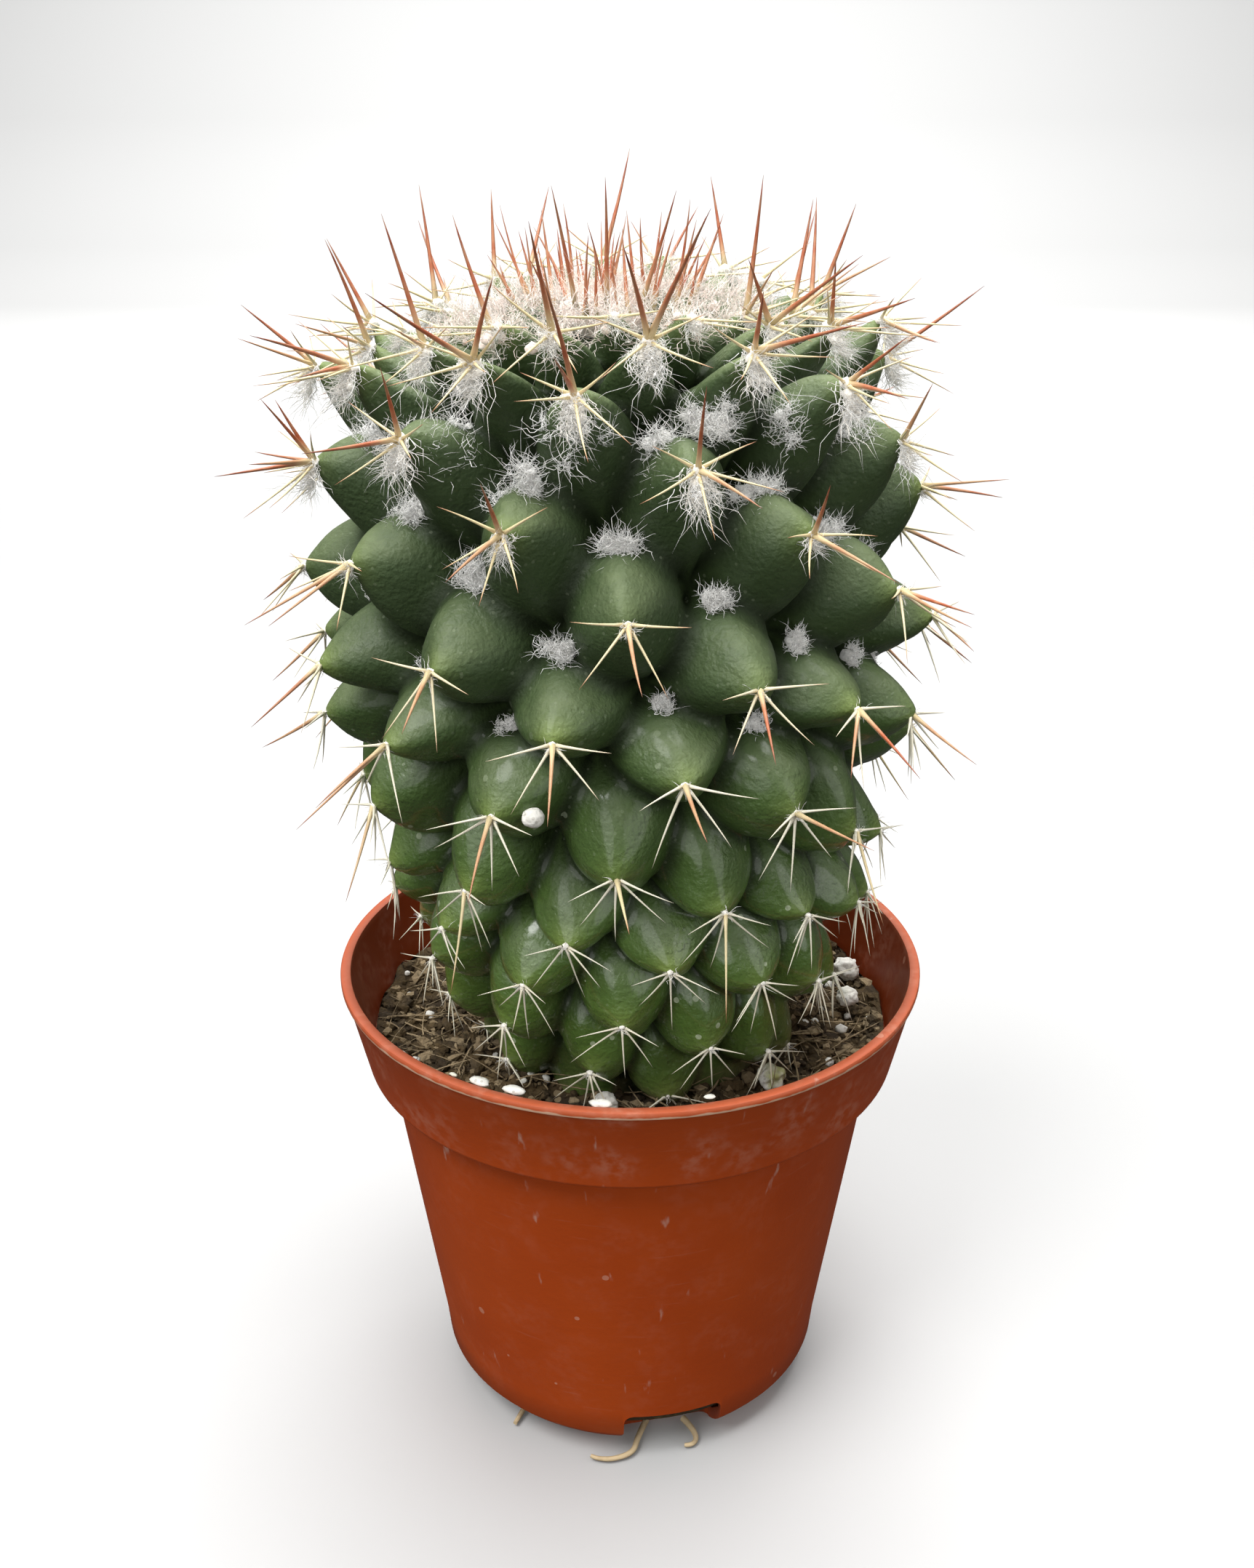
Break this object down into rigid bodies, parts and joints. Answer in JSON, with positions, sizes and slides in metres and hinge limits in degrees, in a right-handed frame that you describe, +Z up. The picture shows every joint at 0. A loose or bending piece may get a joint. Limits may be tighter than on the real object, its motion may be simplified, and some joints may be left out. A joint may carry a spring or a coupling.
{
  "type": "potted round cactus",
  "caption": "Small club-shaped cactus with spiral rows of spined tubercles, rooted in a round plastic grower's pot with a collared rim and drain notches.",
  "frame": {"origin": "centre of the pot's flat underside, on the surface it stands on", "axes": "+Z up along the pot's axis, -Y towards the viewer's side of the plant, +X to the viewer's right"},
  "size_m": [0.0638, 0.0651, 0.117],
  "materials": {
    "pot_plastic": "satin",
    "potting_soil": "matte",
    "green_skin": "satin",
    "cream_spines": "satin",
    "rust_spines": "satin",
    "wool": "matte",
    "perlite": "matte",
    "root": "matte"
  },
  "bodies": {
    "root": {"pot": "pot_plastic", "soil": "potting_soil", "stem": "green_skin", "taproot": "root", "crown_wool": "wool", "crown_spines": "rust_spines", "axil_wool_1": "wool", "axil_wool_2": "wool", "axil_wool_3": "wool", "axil_wool_4": "wool", "axil_wool_5": "wool", "axil_wool_6": "wool", "perlite_1": "perlite", "perlite_2": "perlite", "perlite_3": "perlite", "perlite_4": "perlite", "perlite_5": "perlite", "root_strand_1": "root", "root_strand_2": "root", "root_strand_3": "root", "areole_01": "cream_spines", "areole_02": "cream_spines", "areole_03": "cream_spines", "areole_04": "cream_spines", "areole_05": "cream_spines", "areole_06": "cream_spines", "areole_07": "cream_spines", "areole_08": "cream_spines", "areole_09": "cream_spines", "areole_10": "cream_spines", "areole_11": "cream_spines", "areole_12": "cream_spines", "areole_13": "cream_spines", "areole_14": "cream_spines", "areole_15": "cream_spines", "areole_16": "cream_spines", "areole_17": "cream_spines", "areole_18": "cream_spines", "areole_19": "cream_spines", "areole_20": "cream_spines", "areole_21": "cream_spines", "areole_22": "cream_spines", "areole_23": "cream_spines", "areole_24": "cream_spines", "areole_25": "cream_spines", "areole_26": "cream_spines", "areole_27": "cream_spines", "areole_28": "cream_spines", "areole_29": "cream_spines", "areole_30": "cream_spines", "areole_31": "cream_spines", "areole_32": "cream_spines", "areole_33": "cream_spines", "areole_34": "cream_spines", "areole_35": "cream_spines", "areole_36": "cream_spines", "areole_37": "cream_spines", "areole_38": "cream_spines", "areole_39": "cream_spines", "areole_40": "cream_spines"}
  },
  "joints": []
}
